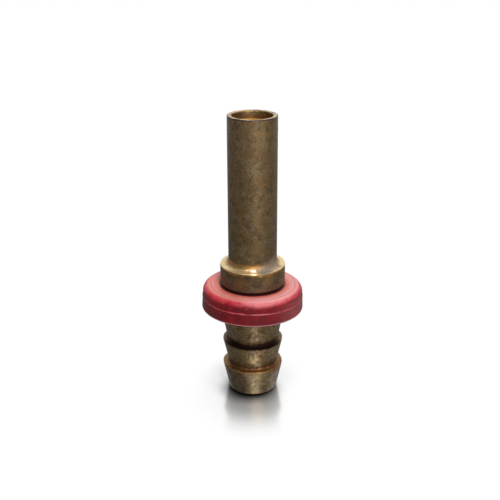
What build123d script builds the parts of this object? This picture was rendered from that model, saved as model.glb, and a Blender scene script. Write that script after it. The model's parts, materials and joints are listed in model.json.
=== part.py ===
from build123d import *
import os
from math import cos, radians

# Push-on hose fitting with a plain tube stub, standing on its hose end.
# The barbed stem is one piece turned from brass bar: three hose barbs, a neck, a round
# shoulder and a thin-walled tube stub, with one bore right through.
# The hose collar is a moulded plastic ring, a shallow cup open downwards. It sits on the
# neck just under the shoulder, a little out of square, and hides the cut end of the hose.
# Sizes are in millimetres. The origin is the centre of the hose end's face and +Z runs up
# the stem.

# Barbed stem: tube stub and bore
tube_diameter = 9.525
tube_wall = 0.889
tube_length = 29.4
tube_edge_break = 0.12
bore_chamfer = 0.28

# Barbed stem: shoulder, which stands out from the tube by its ledge
shoulder_ledge = 1.62
shoulder_height = 4.1
shoulder_fillet = 0.8
shoulder_top_chamfer = 0.12
shoulder_bottom_chamfer = 0.5

# Barbed stem: neck between the top barb and the shoulder, with its wall outside the bore
neck_wall = 1.23
neck_length = 6.8

# Barbed stem: barbs, each a cone that widens upwards and ends in a ledge. The walls are
# measured outside the bore: at the barbs' edges, and at the foot of each cone from the
# hose end up.
barb_wall = 2.19
barb_foot_walls = (0.94, 0.94, 1.21)
barb_pitch = 5.24
barb_edge_break = 0.08
first_barb_length = 5.72
hose_end_chamfer = 0.3

# Hose collar: place on the neck
collar_clearance = 0.05
collar_top_gap = 0.28
collar_tilt = 0.95

# Hose collar: recess for the end of the hose, which is stretched over the neck
hose_wall = 3.0
hose_clearance = 0.2
recess_mouth_chamfer = 0.3

# Hose collar: upper half of the moulding, with a witness groove round its flat top
collar_wall = 1.58
collar_height = 4.82
collar_web = 2.2
collar_round = 1.4
collar_hole_chamfer = 0.2
witness_groove_width = 0.16
witness_groove_depth = 0.07

# Hose collar: parting line and skirt
parting_line_drop = 2.37
parting_flash_height = 0.05
parting_flash_width = 0.14
skirt_step = 0.08
skirt_flare = 0.1
skirt_edge_round = 0.25

# Radii of the stem
tube_radius = tube_diameter / 2
bore_radius = tube_radius - tube_wall
shoulder_radius = tube_radius + shoulder_ledge
neck_radius = bore_radius + neck_wall
barb_radius = bore_radius + barb_wall
foot_radii = [bore_radius + wall for wall in barb_foot_walls]

# Heights up the stem
ledge_heights = [first_barb_length + step * barb_pitch for step in range(len(foot_radii))]
shoulder_bottom = ledge_heights[-1] + neck_length
shoulder_top = shoulder_bottom + shoulder_height
tube_end = shoulder_top + tube_length


def corners(section, radius, *heights):
    """The corners of a section that lie at this radius and at one of these heights."""
    spots = [Vector(radius, height) for height in heights]
    return section.vertices().filter_by(
        lambda corner: min((Vector(corner) - spot).length for spot in spots) < 0.001
    )


# Each ledge steps in from the edge of one barb to the foot of what stands on it.
barb_steps = []
for height, foot_radius in zip(ledge_heights, [*foot_radii[1:], neck_radius]):
    barb_steps += [(barb_radius, height), (foot_radius, height)]

with BuildPart() as barbed_stem:
    with BuildSketch(Plane.XZ) as stem_section:
        with BuildLine():
            Polyline(
                (bore_radius, 0),
                (foot_radii[0], 0),
                *barb_steps,
                (neck_radius, shoulder_bottom),
                (shoulder_radius, shoulder_bottom),
                (shoulder_radius, shoulder_top),
                (tube_radius, shoulder_top),
                (tube_radius, tube_end),
                (bore_radius, tube_end),
                close=True,
            )
        make_face()
        fillet(corners(stem_section, tube_radius, shoulder_top), shoulder_fillet)
        chamfer(corners(stem_section, foot_radii[0], 0), hose_end_chamfer)
        chamfer(corners(stem_section, barb_radius, *ledge_heights), barb_edge_break)
        chamfer(corners(stem_section, shoulder_radius, shoulder_top), shoulder_top_chamfer)
        chamfer(corners(stem_section, shoulder_radius, shoulder_bottom), shoulder_bottom_chamfer)
        chamfer(corners(stem_section, tube_radius, tube_end), tube_edge_break)
        chamfer(corners(stem_section, bore_radius, 0, tube_end), bore_chamfer)
    revolve(axis=Axis.Z)
barbed_stem.part.label = "barbed_stem"

# The collar is drawn about its own axis, which leans towards +X and crosses the stem's axis
# halfway through the web. Its heights are measured from that crossing.
web_top = collar_web / 2
web_middle = shoulder_bottom - collar_top_gap - web_top * cos(radians(collar_tilt))
collar_place = Location((0, 0, web_middle), (0, collar_tilt, 0))

hole_radius = neck_radius + collar_clearance
recess_radius = neck_radius + hose_wall + hose_clearance
collar_radius = recess_radius + collar_wall
flat_radius = collar_radius - collar_round
groove_middle = flat_radius - witness_groove_width / 2
skirt_top_radius = collar_radius + skirt_step
skirt_radius = skirt_top_radius + skirt_flare
flash_radius = skirt_top_radius + parting_flash_height

round_foot = web_top - collar_round
parting_height = web_top - parting_line_drop
flash_top = parting_height + parting_flash_width / 2
flash_bottom = parting_height - parting_flash_width / 2
skirt_bottom = web_top - collar_height

with BuildPart() as hose_collar:
    with BuildSketch(Plane(collar_place * Plane.XZ.location)) as collar_section:
        with BuildLine():
            Polyline(
                (flat_radius, web_top),
                (groove_middle, web_top - witness_groove_depth),
                (flat_radius - witness_groove_width, web_top),
                (hole_radius, web_top),
                (hole_radius, -web_top),
                (recess_radius, -web_top),
                (recess_radius, skirt_bottom),
                (skirt_radius, skirt_bottom),
                (skirt_top_radius, flash_bottom),
                (flash_radius, parting_height),
                (collar_radius, flash_top),
                (collar_radius, round_foot),
            )
            RadiusArc((collar_radius, round_foot), (flat_radius, web_top), -collar_round)
        make_face()
        fillet(corners(collar_section, skirt_radius, skirt_bottom), skirt_edge_round)
        chamfer(corners(collar_section, hole_radius, web_top, -web_top), collar_hole_chamfer)
        chamfer(corners(collar_section, recess_radius, skirt_bottom), recess_mouth_chamfer)
    revolve(axis=Axis.Z.located(collar_place))
hose_collar.part.label = "hose_collar"

os.makedirs("parts", exist_ok=True)
for piece in (barbed_stem.part, hose_collar.part):
    export_step(piece, f"parts/{piece.label}.step")
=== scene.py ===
"""Dresses the push-on hose fitting with a plain tube stub for its render.

The barbed stem is one turned brass piece under a brown patina, worn bright on the shoulder's
ledge and on the cut rim. The hose collar is a moulded ring of faded red plastic with a parting
line. Lengths are in metres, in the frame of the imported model: the origin is the centre of the
hose end's face and +Z runs up the stem.
"""

import json
import logging
from collections.abc import Callable
from dataclasses import dataclass
from enum import Enum
from math import atan2, ceil, cos, hypot, pi, radians, sin, tau

import bmesh
import bpy
from mathutils import Matrix, Vector, noise


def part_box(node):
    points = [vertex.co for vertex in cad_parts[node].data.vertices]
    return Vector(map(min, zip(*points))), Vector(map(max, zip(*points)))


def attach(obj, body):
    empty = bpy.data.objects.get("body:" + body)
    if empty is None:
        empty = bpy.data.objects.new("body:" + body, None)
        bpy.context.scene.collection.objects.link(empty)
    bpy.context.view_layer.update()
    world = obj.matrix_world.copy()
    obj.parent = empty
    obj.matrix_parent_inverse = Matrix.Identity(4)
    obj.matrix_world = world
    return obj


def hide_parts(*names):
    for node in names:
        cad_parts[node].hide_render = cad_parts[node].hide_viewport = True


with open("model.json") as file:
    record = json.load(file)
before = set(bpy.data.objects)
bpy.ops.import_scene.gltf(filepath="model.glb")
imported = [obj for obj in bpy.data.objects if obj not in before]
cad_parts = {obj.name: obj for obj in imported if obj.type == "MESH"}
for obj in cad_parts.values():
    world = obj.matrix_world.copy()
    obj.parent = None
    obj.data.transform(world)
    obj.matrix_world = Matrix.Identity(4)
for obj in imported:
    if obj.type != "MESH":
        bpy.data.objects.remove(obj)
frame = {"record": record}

MM = 0.001

Colour = tuple[float, float, float, float]
Place = tuple[float, float, float]
Socket = bpy.types.NodeSocket

log = logging.getLogger("fitting")


class Body(Enum):
    """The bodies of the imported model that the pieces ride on."""

    STEM = "stem"
    COLLAR = "collar"


class Slot(Enum):
    """The record's material slots."""

    BRASS = "aged_brass"
    PLASTIC = "red_plastic"


class Form(Enum):
    """How a corner of a turned section is broken."""

    SHARP = 0
    CHAMFER = 1
    SMALL_ROUND = 3
    ROUND = 6
    LARGE_ROUND = 14


def shade(red: int, green: int, blue: int) -> Colour:
    """A colour as it shows on screen, from 0 to 255, turned into the shader's linear values.

    Args:
        red: The red part.
        green: The green part.
        blue: The blue part.

    Returns:
        The linear colour with a full alpha.
    """
    linear = []
    for part in (red, green, blue):
        level = part / 255
        linear.append(level / 12.92 if level <= 0.04045 else ((level + 0.055) / 1.055) ** 2.4)
    return (linear[0], linear[1], linear[2], 1.0)


@dataclass(frozen=True)
class Corner:
    """A corner of a turned section, and how far along its sides its break starts."""

    radius: float
    height: float
    form: Form = Form.SHARP
    size: float = 0.0


@dataclass(frozen=True)
class Turning:
    """Spins a closed section round the Z axis into a solid's skin.

    Attributes:
        corners: The section's corners in order.
        steps: Facets round the axis.
        spacing: The longest edge wanted at a radius and height of the section.
    """

    corners: tuple[Corner, ...]
    steps: int
    spacing: Callable[[float, float], float]

    def spin(self) -> bmesh.types.BMesh:
        """Draws the section, breaks its corners, divides its edges and spins it.

        Returns:
            A closed mesh with its faces pointing outwards.
        """
        mesh = bmesh.new()
        spots = [mesh.verts.new((corner.radius, 0, corner.height)) for corner in self.corners]
        for start, end in zip(spots, spots[1:] + spots[:1]):
            mesh.edges.new((start, end))
        for spot, corner in zip(spots, self.corners):
            if corner.form is not Form.SHARP:
                self._break(mesh, spot, corner)
        self._divide(mesh)
        bmesh.ops.spin(
            mesh,
            geom=mesh.verts[:] + mesh.edges[:],
            cent=(0, 0, 0),
            axis=(0, 0, 1),
            angle=tau,
            steps=self.steps,
            use_merge=True,
        )
        bmesh.ops.recalc_face_normals(mesh, faces=mesh.faces[:])
        return mesh

    @staticmethod
    def _break(mesh: bmesh.types.BMesh, spot: bmesh.types.BMVert, corner: Corner) -> None:
        """Rounds or chamfers one corner of the section."""
        bmesh.ops.bevel(
            mesh,
            geom=[spot],
            offset=corner.size,
            offset_type="OFFSET",
            segments=corner.form.value,
            profile=0.5,
            affect="VERTICES",
            material=-1,
        )

    def _divide(self, mesh: bmesh.types.BMesh) -> None:
        """Divides the section's long edges, so that dents and waves have points to move.

        Args:
            mesh: The mesh that holds the section.
        """
        for edge in mesh.edges[:]:
            middle = (edge.verts[0].co + edge.verts[1].co) / 2
            cuts = ceil(edge.calc_length() / self.spacing(middle.x, middle.z)) - 1
            if cuts > 0:
                bmesh.ops.subdivide_edges(mesh, edges=[edge], cuts=cuts)


@dataclass(frozen=True)
class Dent:
    """A small dent in an edge.

    Its angle is in degrees, 0 at +X and 270 towards the camera. Its width is how far it reaches
    from its middle, and its depth how far it pushes there, along a way outwards and upwards.
    """

    angle: float
    radius: float
    height: float
    width: float
    depth: float
    along: tuple[float, float]

    def press(self, mesh: bmesh.types.BMesh) -> None:
        """Moves the points near the dent.

        Args:
            mesh: The piece's mesh.
        """
        turn = radians(self.angle)
        outward = Vector((cos(turn), sin(turn), 0))
        middle = outward * self.radius + Vector((0, 0, self.height))
        push = outward * self.along[0] + Vector((0, 0, self.along[1]))
        for spot in mesh.verts:
            share = (spot.co - middle).length / self.width
            if share < 1:
                spot.co += push * self.depth * (1 - share * share) ** 2


class Bench:
    """The node tree of a material or of the sky, with short calls for the nodes they share."""

    def __init__(self, owner: bpy.types.Material | bpy.types.World) -> None:
        """Empties the node tree of a new material or world."""
        owner.use_nodes = True
        self.owner = owner
        self.tree = owner.node_tree
        self.tree.nodes.clear()

    def add(self, kind: str, inputs: dict[str | int, object], **settings: object) -> bpy.types.Node:
        """Adds a node and wires it.

        Args:
            kind: The node's type.
            inputs: A socket to wire, or a value to set, for each input by name or number.
            settings: The node's own settings.

        Returns:
            The new node.
        """
        node = self.tree.nodes.new(kind)
        for name, value in settings.items():
            setattr(node, name, value)
        for name, value in inputs.items():
            if isinstance(value, bpy.types.NodeSocket):
                self.tree.links.new(value, node.inputs[name])
            else:
                node.inputs[name].default_value = value
        return node

    def place(self) -> Socket:
        """The place on the piece in its own frame, in millimetres."""
        raw = self.add("ShaderNodeTexCoord", {}).outputs["Object"]
        scaled = self.add("ShaderNodeVectorMath", {0: raw, "Scale": 1 / MM}, operation="SCALE")
        return scaled.outputs["Vector"]

    def mapped(
        self,
        point: Socket,
        turn: Place = (0, 0, 0),
        stretch: Place = (1, 1, 1),
        shift: Place = (0, 0, 0),
    ) -> Socket:
        """Shifts a pattern, turns it by degrees and stretches it along its own axes."""
        angles = tuple(radians(part) for part in turn)
        inputs = {"Vector": point, "Location": shift, "Rotation": angles, "Scale": stretch}
        return self.add("ShaderNodeMapping", inputs, vector_type="TEXTURE").outputs["Vector"]

    def calc(self, operation: str, first: object, second: object = 0.0) -> Socket:
        """One sum of two values."""
        node = self.add("ShaderNodeMath", {0: first, 1: second}, operation=operation)
        return node.outputs["Value"]

    def product(self, *values: object) -> Socket:
        """All the values multiplied together."""
        total = values[0]
        for value in values[1:]:
            total = self.calc("MULTIPLY", total, value)
        return total

    def split(self, point: Socket) -> tuple[Socket, Socket, Socket]:
        """The three parts of a vector."""
        node = self.add("ShaderNodeSeparateXYZ", {0: point})
        return (node.outputs[0], node.outputs[1], node.outputs[2])

    def reach(self, point: Socket) -> Socket:
        """The distance from the Z axis."""
        flat = self.add("ShaderNodeVectorMath", {0: point, 1: (1, 1, 0)}, operation="MULTIPLY")
        node = self.add("ShaderNodeVectorMath", {0: flat.outputs["Vector"]}, operation="LENGTH")
        return node.outputs["Value"]

    def rise(self, value: object, low: float, high: float) -> Socket:
        """A smooth step from 0 at low to 1 at high, or down where low is the larger."""
        node = self.add(
            "ShaderNodeMapRange",
            {"Value": value, "From Min": low, "From Max": high},
            interpolation_type="SMOOTHSTEP",
        )
        return node.outputs["Result"]

    def between(self, value: object, low: float, high: float, soft: float) -> Socket:
        """1 between two values, fading out over soft on either side."""
        up = self.rise(value, low - soft, low)
        down = self.rise(value, high + soft, high)
        return self.calc("MULTIPLY", up, down)

    def cloud(
        self, point: Socket, per_mm: float, detail: float, rough: float = 0.55, warp: float = 0.0
    ) -> Socket:
        """A noise from 0 to 1 with that many features to a millimetre."""
        inputs = {"Vector": point, "Scale": per_mm, "Detail": detail}
        inputs |= {"Roughness": rough, "Distortion": warp}
        return self.add("ShaderNodeTexNoise", inputs).outputs["Fac"]

    def specks(self, point: Socket, per_mm: float, size: float, share: float) -> Socket:
        """1 on round specks, whose radius is in parts of a cell, in a share of the cells."""
        node = self.add("ShaderNodeTexVoronoi", {"Vector": point, "Scale": per_mm})
        chosen = self.calc("LESS_THAN", self.split(node.outputs["Color"])[0], share)
        return self.product(self.rise(node.outputs["Distance"], size, size * 0.4), chosen)

    def mix(self, factor: object, first: object, second: object) -> Socket:
        """Two colours mixed by a factor."""
        node = self.add("ShaderNodeMix", {0: factor, 6: first, 7: second}, data_type="RGBA")
        return node.outputs[2]

    def ease(self, factor: object, first: object, second: object) -> Socket:
        """Two values mixed by a factor."""
        node = self.add("ShaderNodeMix", {0: factor, 2: first, 3: second}, data_type="FLOAT")
        return node.outputs[0]

    def bump(self, height: Socket, depth: float, below: Socket | None = None) -> Socket:
        """The normal of a height from 0 to 1 that stands up by a depth, on the bump below."""
        inputs = {"Height": height, "Distance": depth, "Strength": 1.0}
        inputs |= {} if below is None else {"Normal": below}
        return self.add("ShaderNodeBump", inputs).outputs["Normal"]

    def output(self, surface: Socket) -> bpy.types.Material:
        """Ends the tree and hands over its material."""
        self.add("ShaderNodeOutputMaterial", {"Surface": surface})
        return self.owner


class Skin(Bench):
    """The node tree of a piece's finish, with the place on the piece and the colour so far.

    The place is in millimetres about the piece's own axis: across to the right, back from the
    camera, height and radius. The patch is a slow noise that wear and dirt follow.
    """

    def __init__(
        self, name: str, base: Colour, per_mm: float, warp: float, lean: float, middle: float
    ) -> None:
        """Starts a material and measures the place on its piece.

        Args:
            name: The material's name.
            base: The colour that everything else is laid on.
            per_mm: How many patches the slow noise has to a millimetre.
            warp: How far that noise is bent.
            lean: How far the piece's axis leans towards +X, in degrees.
            middle: The height at which that axis crosses the Z axis, in millimetres.
        """
        super().__init__(bpy.data.materials.new(name))
        self.point = self.mapped(self.place(), turn=(0, lean, 0), shift=(0, 0, middle))
        self.across, self.back, self.height = self.split(self.point)
        self.radius = self.reach(self.point)
        self.patch = self.cloud(self.point, per_mm, 4, 0.6, warp)
        self.colour: object = base

    def above(self, level: float, low: float, high: float) -> Socket:
        """A smooth step between two heights that count from a level."""
        return self.rise(self.height, level + low, level + high)

    def beyond(self, level: float, low: float, high: float) -> Socket:
        """A smooth step between two radii that count from a level."""
        return self.rise(self.radius, level + low, level + high)

    def lay(self, over: object, *shares: object) -> None:
        """Lays a colour over what is there, as far as the shares multiplied together say."""
        self.colour = self.mix(self.product(*shares), self.colour, over)

    def gain(self, factor: Socket, first: object, second: object) -> None:
        """Makes the colour lighter or darker, by a value between two that a factor mixes."""
        inputs = {0: self.colour, "Scale": self.ease(factor, first, second)}
        self.colour = self.add("ShaderNodeVectorMath", inputs, operation="SCALE").outputs["Vector"]

    def sway(self, cloud: Socket, amount: float) -> Socket:
        """A noise that wanders about 0."""
        return self.product(self.calc("SUBTRACT", cloud, 0.5), amount)

    def uneven(self, value: Socket, cloud: Socket, amount: float) -> Socket:
        """A value that wanders with a noise."""
        return self.calc("ADD", value, self.sway(cloud, amount))

    def off(self, place: Place, level: float) -> Socket:
        """The distance from a place whose height counts from a level."""
        inputs = {0: self.point, 1: (place[0], place[1], level + place[2])}
        return self.add("ShaderNodeVectorMath", inputs, operation="DISTANCE").outputs["Value"]


@dataclass(frozen=True)
class AgedBrass:
    """Turned brass under a brown patina, worn, tarnished and grimy, with painted light and shade.

    The sizes are in millimetres, because the nodes work in them. The height of the painted
    highlight, the glint and the smear counts from the shoulder's ledge, and the clot's from
    the lowest ledge.
    """

    tube_radius: float
    bore_radius: float
    shoulder_radius: float
    barb_radius: float
    shoulder_bottom: float
    shoulder_top: float
    tube_end: float
    ledges: tuple[float, ...]

    brown: Colour = shade(108, 87, 58)
    umber: Colour = shade(76, 60, 42)
    olive: Colour = shade(114, 98, 64)
    orange: Colour = shade(134, 94, 54)
    mauve: Colour = shade(110, 96, 86)
    bronze: Colour = shade(160, 114, 58)
    worn: Colour = shade(226, 201, 148)
    painted_highlight_white: Colour = shade(254, 246, 226)
    slate: Colour = shade(50, 48, 58)
    amber: Colour = shade(238, 176, 80)
    cut: Colour = shade(198, 172, 132)
    grime_and_shade: Colour = shade(34, 16, 9)
    grime_and_shade_fringe: Colour = shade(92, 46, 24)
    ochre: Colour = shade(150, 118, 64)
    dust: Colour = shade(110, 98, 86)
    speck: Colour = shade(160, 144, 130)

    painted_highlight: Place = (0.2, -5.6, -0.1)
    glint: Place = (0.75, -5.85, -0.05)
    clot: Place = (0.85, -5.1, 0.4)
    smear: tuple[Place, ...] = (
        (2.1, -5.6, 0.0),
        (3.0, -4.7, 0.4),
        (4.1, -3.4, 0.7),
        (4.6, -2.2, 0.9),
    )

    def build(self) -> bpy.types.Material:
        """Wires the finish.

        Returns:
            The material.
        """
        skin = Skin("aged_brass", self.brown, per_mm=0.75, warp=0.6, lean=0.0, middle=0.0)
        grain = skin.rise(skin.cloud(skin.point, 3.0, 3, 0.7), 0.3, 0.7)
        crust = skin.cloud(skin.mapped(skin.point, shift=(3, 31, 8)), 1.5, 4, 0.72)
        crust = skin.rise(crust, 0.36, 0.64)
        barbs = skin.above(self.ledges[-1], 0.1, -0.2)

        self._patina(skin)
        self._grain_and_painted_light(skin, grain, crust, barbs)
        self._marked(skin)
        self._shoulder(skin)
        worn, cut = self._bright(skin)
        skin.lay(self.worn, worn)
        # Painted highlight: a near-white spot on the front of the shoulder's ledge.
        skin.lay(self.painted_highlight_white, skin.rise(skin.off(self.painted_highlight, self.shoulder_top), 0.9, 0.3))
        skin.lay(self.cut, cut)
        self._tarnish_and_painted_light(skin)
        dusty = self._dusty(skin)
        skin.lay(self.dust, dusty)
        # Painted highlight in amber beside it.
        skin.lay(self.amber, skin.rise(skin.off(self.glint, self.shoulder_top), 0.4, 0.15), 0.7)
        # Dirt with painted shade, edged in brown.
        grime_and_shade = self._grime_and_shade(skin)
        skin.lay(skin.mix(skin.rise(grime_and_shade, 0.45, 0.95), self.grime_and_shade_fringe, self.grime_and_shade), grime_and_shade)

        bright = skin.calc("MAXIMUM", worn, cut)
        rough = skin.ease(barbs, skin.ease(grain, 0.56, 0.38), skin.ease(crust, 0.46, 0.28))
        rough = skin.ease(bright, rough, 0.36)
        rough = skin.ease(skin.calc("MAXIMUM", dusty, grime_and_shade), rough, 0.7)
        metal = skin.ease(dusty, skin.ease(bright, 0.85, 0.75), 0.1)
        relief = skin.ease(barbs, skin.product(grain, 0.5), skin.product(crust, 0.6))
        relief = skin.ease(bright, relief, skin.product(grain, 0.15))
        normal = skin.bump(relief, 0.04 * MM, skin.bump(skin.patch, 0.012 * MM))
        inputs = {"Base Color": skin.colour, "Roughness": rough, "Normal": normal}
        inputs["Metallic"] = metal
        return skin.output(skin.add("ShaderNodeBsdfPrincipled", inputs).outputs[0])

    def _patina(self, skin: Skin) -> None:
        """Mottles the oxide's brown with olive, umber, orange and mauve.

        Args:
            skin: The stem's skin.
        """
        broad = skin.cloud(skin.point, 0.22, 3, 0.5, 0.4)
        skin.lay(self.olive, skin.rise(broad, 0.42, 0.58), 0.6)
        skin.lay(self.umber, skin.rise(skin.patch, 0.54, 0.34), 0.68)
        tarnish = skin.cloud(skin.mapped(skin.point, shift=(7, 3, 11)), 0.6, 4, 0.6, 0.8)
        skin.lay(self.orange, skin.rise(tarnish, 0.5, 0.68), 0.36)
        film = skin.cloud(skin.mapped(skin.point, shift=(23, 5, 2)), 0.8, 4, 0.6, 0.8)
        skin.lay(self.mauve, skin.rise(film, 0.52, 0.68), 0.42)

    def _grain_and_painted_light(self, skin: Skin, grain: Socket, crust: Socket, barbs: Socket) -> None:
        """Adds grain, coarser on the barbs, and painted shade and a painted highlight on the tube.

        Args:
            skin: The stem's skin.
            grain: The fine grain of the tube.
            crust: The coarse grain of the barbs.
            barbs: 1 on the barbs.
        """
        mottle = skin.product(skin.ease(grain, 0.84, 1.16), skin.ease(crust, 0.74, 1.4))
        # Darker towards the hose end, lighter higher up.
        mottle = skin.product(mottle, skin.ease(skin.rise(skin.height, 1.0, 9.0), 0.84, 1.12))
        side = skin.between(skin.height, self.shoulder_bottom, self.shoulder_top, 0.4)
        fine = skin.ease(skin.product(side, 0.6), grain, 0.5)
        skin.gain(barbs, skin.ease(fine, 0.84, 1.16), mottle)
        # Painted shade: the tube darker on its left side.
        skin.gain(skin.rise(skin.across, -1.0, -4.7), 1.0, 0.79)
        # Painted shade on both flanks of the tube's upper part.
        flanks = skin.rise(skin.calc("ABSOLUTE", skin.across), 2.4, 4.4)
        skin.gain(skin.product(flanks, skin.rise(skin.height, 36.0, 50.0)), 1.0, 0.84)
        # Painted highlight: a lighter vertical band just right of the tube's middle.
        painted_highlight_band = skin.between(skin.across, 0.8, 2.2, 1.4)
        skin.gain(skin.product(painted_highlight_band, skin.rise(skin.height, 28.0, 44.0)), 1.0, 1.13)

    def _marked(self, skin: Skin) -> None:
        """Adds small pale specks, darker pits and fine lines both ways across the brass.

        Args:
            skin: The stem's skin.
        """
        skin.lay(self.speck, skin.specks(skin.point, 1.5, 0.2, 0.14), 0.45)
        pits = skin.specks(skin.mapped(skin.point, shift=(4, 4, 4)), 1.2, 0.24, 0.12)
        skin.lay(self.umber, pits, 0.6)
        lines = None
        for turn, shift in ((38, 0), (-47, 13), (60, 29)):
            run = skin.mapped(skin.point, (0, turn, 0), (1, 1, 9), (shift, 0, 0))
            line = skin.calc("ABSOLUTE", skin.calc("SUBTRACT", skin.cloud(run, 1.0, 1), 0.5))
            here = skin.cloud(skin.mapped(skin.point, shift=(shift, 9, 4)), 0.35, 1)
            part = skin.product(skin.rise(line, 0.035, 0.01), skin.rise(here, 0.5, 0.64))
            lines = part if lines is None else skin.calc("MAXIMUM", lines, part)
        skin.lay(self.speck, lines, 0.2)

    def _shoulder(self, skin: Skin) -> None:
        """Adds the shoulder's blotches and stains, its greyer underside and its orange root.

        Args:
            skin: The stem's skin.
        """
        side = skin.between(skin.height, self.shoulder_bottom, self.shoulder_top - 0.1, 0.1)
        for over, per_mm, rough, tall, shift, low, high, share in (
            (self.orange, 0.4, 0.65, 0.5, (2, 6, 1), 0.5, 0.62, 0.4),
            (self.umber, 0.55, 0.6, 0.6, (9, 1, 7), 0.56, 0.4, 0.75),
            (self.dust, 0.5, 0.6, 0.5, (3, 8, 5), 0.52, 0.66, 0.5),
        ):
            run = skin.mapped(skin.point, stretch=(1, 1, tall), shift=shift)
            blotch = skin.rise(skin.cloud(run, per_mm, 4, rough, 1.0), low, high)
            skin.lay(over, side, blotch, share)
        for over, place in (
            (self.orange, (-2.6, -5.8, -2.2)),
            (self.ochre, (3.1, -5.6, -1.1)),
            (self.olive, (5.6, -3.0, -1.6)),
        ):
            off = skin.uneven(skin.off(place, self.shoulder_top), skin.patch, 2.4)
            skin.lay(over, side, skin.rise(off, 1.9, 0.3), 0.5)
        low = skin.above(self.shoulder_bottom, 1.3, 0.4)
        skin.lay(self.mauve, side, low, skin.ease(skin.patch, 0.1, 0.9))
        foot = skin.uneven(skin.height, skin.patch, 1.6)
        root = skin.between(foot, self.shoulder_top - 0.3, self.shoulder_top + 0.8, 0.5)
        outside = skin.beyond(self.tube_radius, -0.3, -0.1)
        skin.lay(self.bronze, root, outside, 0.9)

    def _bright(self, skin: Skin) -> tuple[Socket, Socket]:
        """The bright places: the ledge, rubbed from its edge inwards, and the tube's sawn end.

        Args:
            skin: The stem's skin.

        Returns:
            1 where the ledge is bright, and 1 on the bright patches of the sawn end.
        """
        width = self.shoulder_radius - self.tube_radius
        across = skin.calc("DIVIDE", skin.calc("SUBTRACT", skin.radius, self.tube_radius), width)
        rubbed = skin.rise(skin.uneven(across, skin.patch, 0.5), -0.05, 0.62)
        here = skin.above(self.shoulder_top, -0.26, -0.14)
        low = skin.above(self.shoulder_top, 1.2, 0.9)
        end = skin.above(self.tube_end, -0.12, -0.02)
        inside = skin.beyond(self.tube_radius, -0.06, -0.14)
        patchy = skin.ease(skin.rise(skin.patch, 0.4, 0.54), 0.3, 1.0)
        return skin.product(here, low, rubbed), skin.product(end, inside, patchy)

    def _tarnish_and_painted_light(self, skin: Skin) -> None:
        """Tarnishes the bore ochre, with painted reflections on the lowest ledge and in the bore,
        and a painted shade line below the rim's outer edge.

        Args:
            skin: The stem's skin.
        """
        # Painted reflection of the barb above: ochre and orange on the lowest ledge.
        low = skin.between(skin.height, self.ledges[0] - 0.3, self.ledges[0] + 0.3, 0.15)
        skin.lay(skin.mix(skin.rise(skin.patch, 0.4, 0.6), self.orange, self.ochre), low, 0.85)
        bore = skin.beyond(self.bore_radius, 0.4, 0.1)
        skin.lay(self.ochre, bore, skin.rise(skin.patch, 0.4, 0.64), 0.6)
        # Painted reflected light: orange, then amber, deeper down the bore.
        skin.lay(self.orange, bore, skin.above(self.tube_end, -0.5, -1.1), 0.7)
        deep = skin.above(self.tube_end, -1.35, -1.65)
        skin.lay(self.amber, bore, deep, skin.above(self.tube_end, -8.0, -2.0))
        # Painted reflection: an amber line on the near side of the bore's lip.
        lip = skin.beyond(self.bore_radius, 0.38, 0.24)
        top = skin.above(self.tube_end, -0.25, -0.1)
        skin.lay(self.amber, lip, top, skin.rise(skin.back, 0.5, -1.5), 0.75)
        # Painted shade: a slate-grey line just below the rim's outer edge.
        rim_shade = skin.above(self.tube_end, -0.34, -0.16)
        outside = skin.beyond(self.tube_radius, -0.1, -0.03)
        skin.lay(self.slate, rim_shade, outside, 0.7)

    def _dusty(self, skin: Skin) -> Socket:
        """The grey film on the right of the shoulder's ledge, smeared up the tube.

        Args:
            skin: The stem's skin.

        Returns:
            How thick it is, up to 1.
        """
        nearest = None
        for place in self.smear:
            off = skin.off(place, self.shoulder_top)
            nearest = off if nearest is None else skin.calc("MINIMUM", nearest, off)
        ragged = skin.uneven(nearest, skin.patch, 1.6)
        above = skin.above(self.shoulder_top, -0.4, -0.25)
        return skin.product(skin.rise(ragged, 1.9, 0.5), above, 0.92)

    def _grime_and_shade(self, skin: Skin) -> Socket:
        """Dirt with painted shade at the feet of the barbs, most on the middle ledge and thickest
        in front, and painted shade round the hose end's bottom edge.

        Args:
            skin: The stem's skin.

        Returns:
            How thick it is, up to 1.
        """
        # Painted shade: a dark line round the hose end's bottom edge.
        grime_and_shade = skin.product(skin.rise(skin.height, 0.4, 0.12), skin.rise(skin.radius, 4.2, 4.5))
        sway = skin.sway(skin.patch, 1.4)
        # Dirt with painted shade on the ledges, thicker towards the front.
        front = skin.rise(skin.back, -0.2, -3.8)
        fringe = skin.sway(skin.cloud(skin.point, 1.1, 3, 0.5), 0.6)
        for ledge, up, inset, share in (
            (self.ledges[0], 0.5, 0.6, 0.6),
            (self.ledges[1], 1.6, 0.0, 1.0),
        ):
            above = skin.calc("SUBTRACT", skin.height, ledge)
            rim = skin.rise(skin.calc("ADD", above, fringe), -0.55, -0.1)
            near = skin.product(rim, skin.rise(skin.calc("ADD", above, sway), up, up * 0.2))
            edge = skin.ease(front, self.barb_radius - 0.35, self.barb_radius + 0.35 - inset)
            edge = skin.calc("ADD", edge, skin.product(sway, 0.3))
            inside = skin.rise(skin.calc("SUBTRACT", skin.radius, edge), 0.0, -0.5)
            thick = skin.ease(front, share * 0.45, share)
            grime_and_shade = skin.calc("MAXIMUM", grime_and_shade, skin.product(near, inside, thick))
        clot = skin.rise(skin.off(self.clot, self.ledges[0]), 0.6, 0.2)
        return skin.calc("MAXIMUM", grime_and_shade, skin.product(clot, 0.8))


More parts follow.
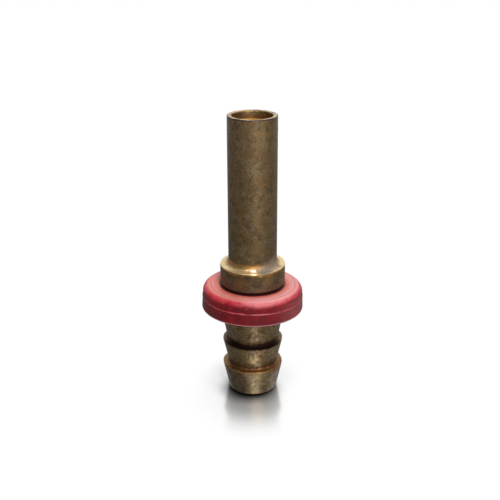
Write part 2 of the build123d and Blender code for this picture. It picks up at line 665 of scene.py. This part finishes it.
@dataclass(frozen=True)
class FadedPlastic:
    """Red moulded plastic, faded and dusty on top, with a paler parting line and painted light and
    shade.

    The sizes are in millimetres and the tilt in degrees. The middle is the height at which the
    collar's axis crosses the stem's, and the top, parting line and bottom count from there.
    """

    tilt: float
    middle: float
    top: float
    parting: float
    wall: float
    groove: float
    bottom: float

    crimson: Colour = shade(112, 8, 20)
    maroon: Colour = shade(90, 6, 16)
    scarlet: Colour = shade(180, 28, 46)
    salmon: Colour = shade(200, 114, 102)
    painted_brass_reflection: Colour = shade(186, 88, 70)
    pale: Colour = shade(212, 150, 152)
    painted_shadow: Colour = shade(46, 8, 8)

    def build(self) -> bpy.types.Material:
        """Wires the finish.

        Returns:
            The material.
        """
        skin = Skin("faded_red_plastic", self.maroon, 0.45, 0.7, self.tilt, self.middle)
        upward = skin.split(skin.add("ShaderNodeTexCoord", {}).outputs["Normal"])[2]
        grain = skin.cloud(skin.point, 4.5, 3, 0.7)

        self._faded_and_painted_light(skin, upward)
        skin.gain(grain, 0.8, 1.2)
        # Slightly lighter all over, with painted light towards the far left edge.
        skin.gain(skin.rise(skin.across, -5, -9.5), 1.05, 1.4)
        self._lined(skin, upward)
        rough = skin.ease(grain, 0.4, 0.56)
        normal = skin.bump(grain, 0.02 * MM, skin.bump(skin.patch, 0.03 * MM))
        inputs = {"Base Color": skin.colour, "Roughness": rough, "Normal": normal}
        inputs["Specular IOR Level"] = 0.3
        return skin.output(skin.add("ShaderNodeBsdfPrincipled", inputs).outputs[0])

    def _faded_and_painted_light(self, skin: Skin, upward: Socket) -> None:
        """Fades and dusts the red on top, with painted light on the round and on the right,
        a painted reflection of the brass by the neck and a painted shadow under the shoulder.

        Args:
            skin: The collar's skin.
            upward: How far a place faces up.
        """
        skin.lay(self.crimson, skin.rise(skin.patch, 0.36, 0.64))
        blotch = skin.cloud(skin.mapped(skin.point, shift=(5, 17, 3)), 0.32, 5, 0.65, 0.5)
        # Painted light: brighter scarlet wherever the surface faces up.
        skin.lay(self.scarlet, skin.rise(skin.uneven(upward, blotch, 1.1), 0.0, 0.95))
        flat = skin.rise(upward, 0.8, 1.0)
        skin.lay(self.salmon, flat)
        # Painted reflection of the brass shoulder: orange on the top near the neck.
        inner = skin.uneven(skin.radius, blotch, 3.0)
        skin.lay(self.painted_brass_reflection, skin.rise(inner, self.groove - 0.4, self.groove - 1.8), 0.75, flat)
        # Pale dust on the round, partly painted sheen, strongest just right of the middle.
        outer = skin.beyond(self.groove, -1.6, 0.2)
        film = skin.product(outer, skin.rise(upward, 0.2, 0.8), skin.rise(blotch, 0.3, 0.6))
        front = skin.product(skin.rise(skin.across, -5, 1), skin.rise(skin.across, 10, 5))
        skin.lay(self.pale, film, skin.ease(front, 0.14, 0.42))
        # Pale on the right of the top: dust, partly painted light from the right.
        dust_and_painted_light = skin.product(skin.rise(skin.across, -4, 4), skin.rise(skin.radius, 6.6, 7.6), 0.4)
        skin.lay(self.pale, dust_and_painted_light, skin.rise(upward, 0.75, 0.95))
        # Pale on the right of the wall: dust, partly painted light from the right.
        skin.lay(self.pale, skin.rise(skin.across, 3, 9), skin.rise(upward, 0.4, 0.0), 0.12)
        # Painted shadow of the shoulder on the top by the neck, wider on the left.
        shadow_reach = skin.uneven(skin.radius, skin.patch, 0.3)
        shadow_reach = skin.calc("ADD", shadow_reach, skin.product(skin.across, 0.015))
        skin.lay(self.painted_shadow, skin.rise(shadow_reach, 6.85, 6.4), 0.95)

    def _lined(self, skin: Skin, upward: Socket) -> None:
        """Marks the scuffed parting line and pale specks, with painted shade in the groove and
        painted highlights on the groove's lip and along the hem.

        Args:
            skin: The collar's skin.
            upward: How far a place faces up.
        """
        # Painted shade in the witness groove.
        groove = skin.between(skin.radius, self.groove - 0.17, self.groove + 0.01, 0.03)
        below = skin.above(self.top, -0.005, -0.03)
        skin.lay(self.maroon, groove, below, 0.4)
        # Painted highlight on the groove's inner lip where it faces up.
        lip = skin.between(skin.radius, self.groove - 0.5, self.groove - 0.2, 0.1)
        skin.lay(self.pale, lip, skin.rise(upward, 0.9, 1.0), 0.45)
        near = skin.between(skin.height, self.parting - 0.05, self.parting + 0.06, 0.03)
        line = skin.product(near, skin.beyond(self.wall, 0.05, 0.1))
        skin.lay(self.pale, line, skin.ease(skin.rise(skin.patch, 0.4, 0.6), 0.12, 0.5))
        # Painted highlight: a pale line along the skirt's bottom edge.
        hem = skin.between(skin.height, self.bottom + 0.08, self.bottom + 0.26, 0.08)
        skin.lay(self.pale, hem, 0.5)
        skin.lay(self.pale, skin.specks(skin.point, 1.6, 0.24, 0.14), 0.3)


@dataclass
class BarbedStem:
    """The turned brass piece: hose barbs, neck, shoulder and tube stub round one bore."""

    tube_radius: float
    bore_radius: float
    shoulder_radius: float
    tube_end: float
    tube_length: float = 29.25 * MM
    shoulder_height: float = 4.25 * MM
    shoulder_fillet: float = 1.1 * MM
    ledge_fall: float = 0.08 * MM
    ledge_break: float = 0.2 * MM
    underside_break: float = 0.5 * MM
    edge_break: float = 0.1 * MM
    bore_break: float = 0.28 * MM
    neck_radius: float = 5.1035 * MM
    barb_radius: float = 6.0635 * MM
    foot_radii: tuple[float, ...] = (4.8135 * MM, 4.8135 * MM, 5.0835 * MM)
    barb_pitch: float = 5.24 * MM
    first_barb: float = 5.72 * MM
    barb_edge: float = 0.2 * MM
    foot_fillet: float = 0.45 * MM
    end_break: float = 0.3 * MM
    barb_wear: float = 0.14 * MM
    shoulder_wear: float = 0.06 * MM
    wear_reach: float = 0.6 * MM
    rubs_per_mm: float = 0.8
    waves_per_mm: float = 0.5
    rub_bias: float = 0.25
    hidden_bore: float = 0.85
    hidden_spacing: float = 2.0 * MM
    seen_spacing: float = 0.3 * MM
    steps: int = 240

    @classmethod
    def from_frame(cls, record: dict) -> "BarbedStem":
        """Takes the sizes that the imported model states.

        Args:
            record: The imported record.

        Returns:
            The stem at its real size.
        """
        mounts = {mount["name"]: mount["dims"] for mount in record["mounts"]}
        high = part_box("barbed_stem")[1]
        return cls(
            tube_radius=mounts["tube_stub"]["r_mm"] * MM,
            bore_radius=mounts["flow_bore"]["r_mm"] * MM,
            shoulder_radius=high.x,
            tube_end=high.z,
        )

    @property
    def shoulder_top(self) -> float:
        """The height of the shoulder's ledge."""
        return self.tube_end - self.tube_length

    @property
    def shoulder_bottom(self) -> float:
        """The height of the shoulder's underside."""
        return self.shoulder_top - self.shoulder_height

    @property
    def ledges(self) -> list[float]:
        """The heights of the barbs' ledges."""
        return [self.first_barb + step * self.barb_pitch for step in range(len(self.foot_radii))]

    def section(self) -> tuple[Corner, ...]:
        """The stem's section, up the outside from the hose end and back down the bore.

        Returns:
            The section's corners.
        """
        rim = self.shoulder_top - self.ledge_fall
        corners = [
            Corner(self.bore_radius, 0, Form.CHAMFER, self.bore_break),
            Corner(self.foot_radii[0], 0, Form.ROUND, self.end_break),
        ]
        for ledge, foot in zip(self.ledges, [*self.foot_radii[1:], self.neck_radius]):
            corners += [
                Corner(self.barb_radius, ledge, Form.ROUND, self.barb_edge),
                Corner(foot, ledge, Form.SMALL_ROUND, self.foot_fillet),
            ]
        corners += [
            Corner(self.neck_radius, self.shoulder_bottom),
            Corner(self.shoulder_radius, self.shoulder_bottom, Form.ROUND, self.underside_break),
            Corner(self.shoulder_radius, rim, Form.ROUND, self.ledge_break),
            Corner(self.tube_radius, self.shoulder_top, Form.LARGE_ROUND, self.shoulder_fillet),
            Corner(self.tube_radius, self.tube_end, Form.SMALL_ROUND, self.edge_break),
            Corner(self.bore_radius, self.tube_end, Form.ROUND, self.bore_break),
        ]
        return tuple(corners)

    def spacing(self, radius: float, height: float) -> float:
        """The longest edge wanted, which is long only down the bore where nobody looks."""
        inside = radius < self.bore_radius + self.edge_break
        hidden = inside and height < self.tube_end * self.hidden_bore
        return self.hidden_spacing if hidden else self.seen_spacing

    def model(self) -> bmesh.types.BMesh:
        """Turns the stem and gives it its knocks.

        Returns:
            The stem's mesh.
        """
        mesh = Turning(self.section(), self.steps, self.spacing).spin()
        self._wear(mesh)
        for dent in self.dents():
            dent.press(mesh)
        return mesh

    def _wear(self, mesh: bmesh.types.BMesh) -> None:
        """Rubs the edges of the barbs and of the shoulder a little out of true.

        Args:
            mesh: The stem's mesh.
        """
        edges = [(self.barb_radius, ledge, self.barb_wear) for ledge in self.ledges]
        edges.append((self.shoulder_radius, self.shoulder_top, self.shoulder_wear))
        edges.append((self.shoulder_radius, self.shoulder_bottom, self.shoulder_wear))
        for spot in mesh.verts:
            reach = hypot(spot.co.x, spot.co.y)
            for radius, height, depth in edges:
                share = 1 - hypot(reach - radius, spot.co.z - height) / self.wear_reach
                if share > 0:
                    level = noise.fractal(spot.co * self.rubs_per_mm / MM, 1.0, 2.0, 3)
                    shrink = 1 - max(0.0, level + self.rub_bias) * depth * share / reach
                    spot.co.x *= shrink
                    spot.co.y *= shrink
                    spot.co.z += noise.noise(spot.co * self.waves_per_mm / MM) * depth * share

    def dents(self) -> list[Dent]:
        """The knocks that the photograph shows in the shoulder's edge, the rim and the barbs."""
        return [
            Dent(283, self.shoulder_radius, self.shoulder_top, 0.7 * MM, 0.14 * MM, (-1, -0.7)),
            Dent(301, self.shoulder_radius, self.shoulder_top, 0.5 * MM, 0.08 * MM, (-1, -0.5)),
            Dent(238, self.shoulder_radius, self.shoulder_top, 0.9 * MM, 0.08 * MM, (-1, -0.5)),
            Dent(262, self.tube_radius, self.tube_end, 0.7 * MM, 0.07 * MM, (0, -1)),
            Dent(74, self.bore_radius, self.tube_end, 0.6 * MM, 0.09 * MM, (0, -1)),
            Dent(273, self.barb_radius, self.ledges[1], 0.6 * MM, 0.16 * MM, (-1, -0.5)),
            Dent(280, self.barb_radius, self.ledges[0], 0.8 * MM, 0.14 * MM, (-1, -0.5)),
            Dent(247, self.barb_radius, self.ledges[1], 0.8 * MM, 0.12 * MM, (-1, -0.8)),
        ]

    def finish(self) -> AgedBrass:
        """The stem's own finish."""
        return AgedBrass(
            tube_radius=self.tube_radius / MM,
            bore_radius=self.bore_radius / MM,
            shoulder_radius=self.shoulder_radius / MM,
            barb_radius=self.barb_radius / MM,
            shoulder_bottom=self.shoulder_bottom / MM,
            shoulder_top=self.shoulder_top / MM,
            tube_end=self.tube_end / MM,
            ledges=tuple(ledge / MM for ledge in self.ledges),
        )

    def build(self) -> bpy.types.Object:
        """Models and dresses the stem.

        Returns:
            The finished piece.
        """
        piece = hand_over(self.model(), "barbed_stem_turned", self.finish().build())
        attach(piece, Body.STEM.value)
        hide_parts("barbed_stem")
        return piece


@dataclass
class HoseCollar:
    """The moulded ring on the neck, a shallow cup open downwards, a little out of square."""

    shoulder_bottom: float
    neck_radius: float
    tilt: float = 0.95
    top_gap: float = 0.28 * MM
    clearance: float = 0.05 * MM
    hose_room: float = 3.2 * MM
    wall: float = 1.58 * MM
    web: float = 2.2 * MM
    height: float = 4.82 * MM
    top_round: float = 1.4 * MM
    hole_round: float = 0.2 * MM
    recess_fillet: float = 0.3 * MM
    mouth_break: float = 0.3 * MM
    groove_width: float = 0.16 * MM
    groove_depth: float = 0.07 * MM
    groove_land: float = 0.03 * MM
    parting_drop: float = 2.37 * MM
    flash_height: float = 0.05 * MM
    flash_width: float = 0.14 * MM
    skirt_step: float = 0.08 * MM
    skirt_flare: float = 0.1 * MM
    skirt_round: float = 0.25 * MM
    waves_around: float = 7.0
    wave_height: float = 0.15 * MM
    wave_room: float = 0.01 * MM
    nicks_around: float = 23.0
    nick_bias: float = 0.2
    nick_depth: float = 0.16 * MM
    hidden_cup: float = 1.02
    hidden_web: float = 0.9
    hidden_spacing: float = 0.8 * MM
    seen_spacing: float = 0.25 * MM
    steps: int = 360

    @property
    def web_top(self) -> float:
        """The flat top's height above the middle of the web."""
        return self.web / 2

    @property
    def middle(self) -> float:
        """The height at which the collar's axis crosses the stem's."""
        return self.shoulder_bottom - self.top_gap - self.web_top * cos(radians(self.tilt))

    @property
    def outer_radius(self) -> float:
        """The radius of the wall above the parting line."""
        return self.neck_radius + self.hose_room + self.wall

    @property
    def groove_edge(self) -> float:
        """The outer radius of the witness groove."""
        return self.outer_radius - self.top_round - self.groove_land

    @property
    def parting(self) -> float:
        """The parting line's height from the middle of the web."""
        return self.web_top - self.parting_drop

    @property
    def bottom(self) -> float:
        """The skirt's edge, from the middle of the web."""
        return self.web_top - self.height

    def section(self) -> tuple[Corner, ...]:
        """The collar's section about its own axis, round from the flat top's hole.

        Returns:
            The section's corners.
        """
        hole = self.neck_radius + self.clearance
        recess = self.neck_radius + self.hose_room
        skirt = self.outer_radius + self.skirt_step
        groove = self.groove_edge
        half = self.flash_width / 2
        return (
            Corner(hole, self.web_top, Form.SMALL_ROUND, self.hole_round),
            Corner(hole, -self.web_top, Form.CHAMFER, self.hole_round),
            Corner(recess, -self.web_top, Form.SMALL_ROUND, self.recess_fillet),
            Corner(recess, self.bottom, Form.CHAMFER, self.mouth_break),
            Corner(skirt + self.skirt_flare, self.bottom, Form.ROUND, self.skirt_round),
            Corner(skirt, self.parting - half),
            Corner(skirt + self.flash_height, self.parting),
            Corner(self.outer_radius, self.parting + half),
            Corner(self.outer_radius, self.web_top, Form.LARGE_ROUND, self.top_round),
            Corner(groove, self.web_top),
            Corner(groove - self.groove_width / 2, self.web_top - self.groove_depth),
            Corner(groove - self.groove_width, self.web_top),
        )

    def spacing(self, radius: float, height: float) -> float:
        """The longest edge wanted, which is long only inside the cup."""
        inside = radius < self.neck_radius + self.hose_room * self.hidden_cup
        hidden = inside and height < self.web_top * self.hidden_web
        return self.hidden_spacing if hidden else self.seen_spacing

    def model(self) -> bmesh.types.BMesh:
        """Moulds the ring, wavers its parting line and leans it.

        Returns:
            The collar's mesh.
        """
        mesh = Turning(self.section(), self.steps, self.spacing).spin()
        self._waver(mesh)
        lean = Matrix.Rotation(radians(self.tilt), 4, "Y")
        place = Matrix.Translation((0, 0, self.middle)) @ lean
        bmesh.ops.transform(mesh, matrix=place, verts=mesh.verts)
        return mesh

    def _waver(self, mesh: bmesh.types.BMesh) -> None:
        """Moves the parting line's flash up and down and nicks it.

        Args:
            mesh: The collar's mesh about its own axis.
        """
        for spot in mesh.verts:
            reach = hypot(spot.co.x, spot.co.y)
            off = abs(spot.co.z - self.parting)
            if reach < self.outer_radius - self.wave_room or off > self.flash_width:
                continue
            share = 1 - off / self.flash_width
            angle = atan2(spot.co.y, spot.co.x)
            around = Vector((cos(angle), sin(angle), 0))
            wave = noise.noise(around * self.waves_around)
            nick = noise.noise(around * self.nicks_around + Vector((0, 0, 5)))
            spot.co.z += wave * self.wave_height * share
            spot.co += around * min(0.0, nick + self.nick_bias) * self.nick_depth * share

    def finish(self) -> FadedPlastic:
        """The collar's own finish."""
        return FadedPlastic(
            tilt=self.tilt,
            middle=self.middle / MM,
            top=self.web_top / MM,
            parting=self.parting / MM,
            wall=self.outer_radius / MM,
            groove=self.groove_edge / MM,
            bottom=self.bottom / MM,
        )

    def build(self) -> bpy.types.Object:
        """Models and dresses the collar.

        Returns:
            The finished piece.
        """
        piece = hand_over(self.model(), "hose_collar_moulded", self.finish().build())
        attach(piece, Body.COLLAR.value)
        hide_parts("hose_collar")
        return piece


def hand_over(mesh: bmesh.types.BMesh, name: str, material: bpy.types.Material) -> bpy.types.Object:
    """Makes an object of a finished mesh, at the origin and unturned.

    Args:
        mesh: The mesh, which is used up.
        name: The object's name.
        material: Its finish.

    Returns:
        The object, in the scene.
    """
    for face in mesh.faces:
        face.smooth = True
    data = bpy.data.meshes.new(name)
    mesh.to_mesh(data)
    mesh.free()
    data.materials.append(material)
    piece = bpy.data.objects.new(name, data)
    bpy.context.scene.collection.objects.link(piece)
    return piece


@dataclass(frozen=True)
class Softbox:
    """A lamp that faces the fitting.

    Its azimuth is its place round the fitting in degrees, 0 in front and 90 on the right, and
    its elevation counts from the floor. Its radiance is how bright its face is, and it aims at
    a height on the stem's axis.
    """

    name: str
    azimuth: float
    elevation: float
    away: float
    width: float
    tall: float
    radiance: float
    aim: float = 30 * MM

    def hang(self) -> None:
        """Hangs the lamp in the scene, out of the camera's sight."""
        data = bpy.data.lights.new(self.name, "AREA")
        data.shape = "RECTANGLE"
        data.size = self.width
        data.size_y = self.tall
        data.energy = self.radiance * pi * self.width * self.tall
        turn, lift = radians(self.azimuth), radians(self.elevation)
        out = Vector((sin(turn) * cos(lift), -cos(turn) * cos(lift), sin(lift)))
        lamp = bpy.data.objects.new(self.name, data)
        lamp.location = Vector((0, 0, self.aim)) + out * self.away
        lamp.rotation_euler = out.to_track_quat("Z", "Y").to_euler()
        lamp.visible_camera = False
        bpy.context.scene.collection.objects.link(lamp)


@dataclass(frozen=True)
class Studio:
    """The floor, the sky round it and the lamps.

    The floor turns white, and its reflection fades out, by the reach from a middle that lies a
    little ahead of the fitting.
    """

    floor_size: float = 4.0
    ahead: float = 4 * MM
    lit_reach: float = 6 * MM
    white_reach: float = 18.5 * MM
    mirror_reach: float = 23 * MM
    contact_reach: float = 6 * MM
    backdrop_near: float = 120 * MM
    backdrop_far: float = 400 * MM
    to_light: Place = (0.16, 0.6, 0.75)
    plain_gloss: Colour = (0.95, 0.95, 0.95, 1)
    cool_gloss: Colour = (0.88, 0.94, 1, 1)
    lamps: tuple[Softbox, ...] = (
        Softbox("overhead_front", 8, 70, away=0.42, width=0.1, tall=0.1, radiance=22.0),
        Softbox("front_right", 18, 24, away=0.45, width=0.12, tall=0.3, radiance=13.0),
        Softbox("front_high", 13, 47, away=0.4, width=0.04, tall=0.04, radiance=52.0),
        Softbox("rear_right", 125, 50, away=0.5, width=0.16, tall=0.16, radiance=4.0),
    )

    def build(self) -> None:
        """Lays the floor, lights the scene and sets its sky."""
        self._floor()
        self._sky()
        for lamp in self.lamps:
            lamp.hang()

    @staticmethod
    def _seen(bench: Bench, backdrop: Socket) -> Socket:
        """The rays that show the background as white.

        Args:
            bench: The node tree.
            backdrop: 1 where the background is, which metal shows by its gloss.

        Returns:
            1 for the camera's rays, for rays through glass and for mirrored rays to the backdrop.
        """
        path = bench.add("ShaderNodeLightPath", {})
        straight = bench.calc(
            "MAXIMUM", path.outputs["Is Camera Ray"], path.outputs["Is Transmission Ray"]
        )
        mirrored = bench.product(path.outputs["Is Glossy Ray"], backdrop)
        return bench.calc("MAXIMUM", straight, mirrored)

    def _floor(self) -> None:
        """A pale floor that keeps the fitting's shadow and a soft reflection."""
        mesh = bmesh.new()
        bmesh.ops.create_grid(mesh, x_segments=1, y_segments=1, size=self.floor_size)
        bench = Bench(bpy.data.materials.new("pale_floor"))
        place = bench.place()
        spot = bench.mapped(place, stretch=(0.8, 1, 1), shift=(0, -self.ahead / MM, 0))
        reach = bench.reach(spot)
        backdrop = bench.rise(reach, self.backdrop_near / MM, self.backdrop_far / MM)
        seen = self._seen(bench, backdrop)
        matt = bench.add("ShaderNodeBsdfDiffuse", {"Color": bench.ease(seen, 0.3, 0.96)})
        across, along, _ = bench.split(place)
        front = bench.product(bench.between(across, -4.5, 4.5, 1.2), bench.rise(along, -1.0, -5.0))
        tint = bench.mix(front, self.plain_gloss, self.cool_gloss)
        gloss = bench.add("ShaderNodeBsdfGlossy", {"Color": tint, "Roughness": 0.18})
        shine = bench.product(bench.rise(reach, self.mirror_reach / MM, 4.5), 0.7)
        lit = bench.add("ShaderNodeMixShader", {0: shine, 1: matt.outputs[0], 2: gloss.outputs[0]})
        to_light = bench.add("ShaderNodeCombineXYZ", dict(enumerate(self.to_light))).outputs[0]
        inputs = {"Distance": self.contact_reach, "Normal": to_light}
        open_sky = bench.add("ShaderNodeAmbientOcclusion", inputs, samples=16).outputs["AO"]
        contact = bench.product(bench.rise(open_sky, 0.8, 0.31), seen)
        dark = bench.add("ShaderNodeBsdfDiffuse", {"Color": (0, 0, 0, 1)})
        lit = bench.add("ShaderNodeMixShader", {0: contact, 1: lit.outputs[0], 2: dark.outputs[0]})
        white = bench.add("ShaderNodeEmission", {"Color": (1, 1, 1, 1), "Strength": 1.0})
        far = bench.product(bench.rise(reach, self.lit_reach / MM, self.white_reach / MM), seen)
        both = bench.add("ShaderNodeMixShader", {0: far, 1: lit.outputs[0], 2: white.outputs[0]})
        material = bench.output(both.outputs[0])
        material.cycles.emission_sampling = "NONE"
        hand_over(mesh, "floor", material)

    def _sky(self) -> None:
        """A studio that shows white, and lights from above and behind more than from in front."""
        world = bpy.data.worlds.new("studio")
        bpy.context.scene.world = world
        bench = Bench(world)
        way = bench.add("ShaderNodeTexCoord", {}).outputs["Generated"]
        right, back, up = bench.split(way)
        backdrop = bench.rise(back, 0.25, 0.9)
        level = bench.ease(bench.rise(up, 0.35, 0.9), bench.ease(backdrop, 0.08, 0.9), 0.55)
        level = bench.product(level, bench.ease(bench.rise(right, -0.7, 0.4), 0.25, 1.0))
        strength = bench.ease(self._seen(bench, backdrop), level, 1.0)
        light = bench.add("ShaderNodeBackground", {"Color": (1, 1, 1, 1), "Strength": strength})
        bench.add("ShaderNodeOutputWorld", {"Surface": light.outputs[0]})


@dataclass(frozen=True)
class PhotoCamera:
    """The camera, fitted to the photograph's view of the stem. Its angles are in degrees."""

    back: float = 153.55 * MM
    height: float = 89.64 * MM
    down: float = 21.31
    left: float = 0.19
    roll: float = -0.17
    lens: float = 60.6
    sensor: float = 36.0

    def build(self) -> bpy.types.Object:
        """Sets the scene's camera.

        Returns:
            The camera.
        """
        data = bpy.data.cameras.new("photo_camera")
        data.lens = self.lens
        data.sensor_width = self.sensor
        data.clip_start = 5 * MM
        data.clip_end = 20.0
        data.dof.use_dof = False
        camera = bpy.data.objects.new("photo_camera", data)
        turned = Matrix.Rotation(radians(self.left), 4, "Z")
        lowered = Matrix.Rotation(radians(90 - self.down), 4, "X")
        rolled = Matrix.Rotation(radians(self.roll), 4, "Z")
        place = Matrix.Translation((0, -self.back, self.height))
        camera.matrix_world = place @ (turned @ lowered) @ rolled
        bpy.context.scene.collection.objects.link(camera)
        bpy.context.scene.camera = camera
        return camera


def main() -> None:
    """Builds the fitting, its studio and its camera."""
    logging.basicConfig(level=logging.INFO)
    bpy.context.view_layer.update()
    stem = BarbedStem.from_frame(frame["record"])
    collar = HoseCollar(shoulder_bottom=stem.shoulder_bottom, neck_radius=stem.neck_radius)
    for maker in (stem, collar):
        piece = maker.build()
        log.info("%s has %d faces", piece.name, len(piece.data.polygons))
    Studio().build()
    PhotoCamera().build()
    bpy.context.scene.view_settings.view_transform = "Standard"


if __name__ == "__main__":
    main()
